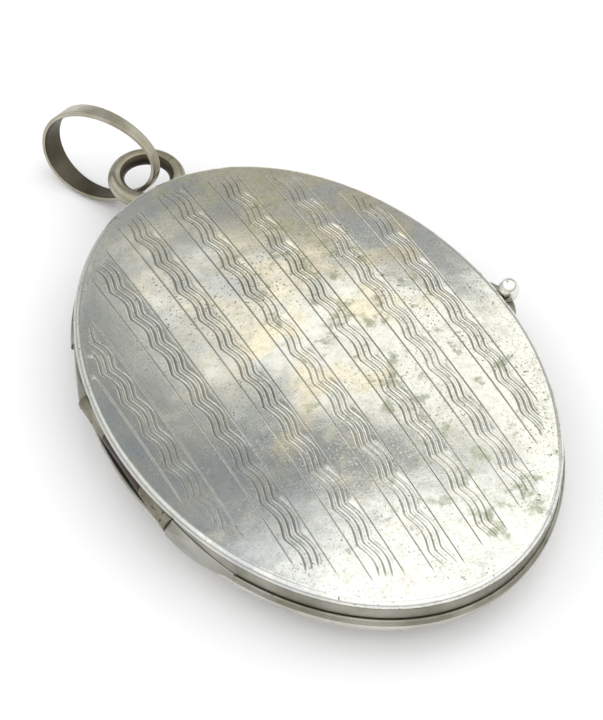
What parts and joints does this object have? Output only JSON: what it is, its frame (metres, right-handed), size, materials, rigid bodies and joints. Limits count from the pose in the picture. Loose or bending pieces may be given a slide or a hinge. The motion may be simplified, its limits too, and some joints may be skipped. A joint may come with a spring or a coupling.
{
  "type": "locket",
  "caption": "Hinged oval picture locket with a domed engraved cover, a ball to open it by, a soldered ring and a flat tapered bail; inside, framed windows over blank cards.",
  "frame": {"origin": "centre of the small flat at the crown of the back cover, which the closed locket rests on", "axes": "+Z out of the engraved front face, +Y along the oval towards the ring, -X the hinge side, +X the opening side"},
  "size_m": [0.0305, 0.0501, 0.0074],
  "materials": {
    "engraved_silver": "old sterling silver, engraved, softly polished with grey tarnish",
    "silver": "worn sterling silver, grey-brown tarnish",
    "polished_silver": "bright silver, polished by handling",
    "ring_silver": "silver wire and strip, dull olive-grey tarnish",
    "hinge_silver": "silver tube, dark brown tarnish and grime",
    "hinge_pin": "nickel-silver wire",
    "gilt": "gilt brass, satin",
    "window": "thin clear mica, slightly warm",
    "card": "blank cream card"
  },
  "bodies": {
    "back": {"back_cover": "silver", "back_band": "silver", "back_bead": "silver", "catch_band": "silver", "upper_knuckle": "hinge_silver", "lower_knuckle": "hinge_silver", "hinge_pin": "hinge_pin", "upper_hinge_wing": "silver", "lower_hinge_wing": "silver", "suspension_ring": "ring_silver", "back_frame": "gilt", "back_window": "window", "back_card": "card"},
    "lid": {"front_cover": "engraved_silver", "front_band": "silver", "lid_knuckle": "hinge_silver", "thumb_lip": "silver", "thumb_ball": "polished_silver", "front_frame": "gilt", "front_window": "window", "front_card": "card"},
    "bail": {"bail": "ring_silver"}
  },
  "joints": [
    {"name": "lid_hinge", "type": "hinge", "parent": "back", "child": "lid", "pos_m": [-0.0139, 0, 0.00416], "axis": [0, -1, 0], "range_deg": [0, 105]},
    {"name": "bail_swivel", "type": "hinge", "parent": "back", "child": "bail", "pos_m": [-0.0005, 0.0226, 0.00295], "axis": [0, 0, 1], "range_deg": [-130, 75]}
  ]
}
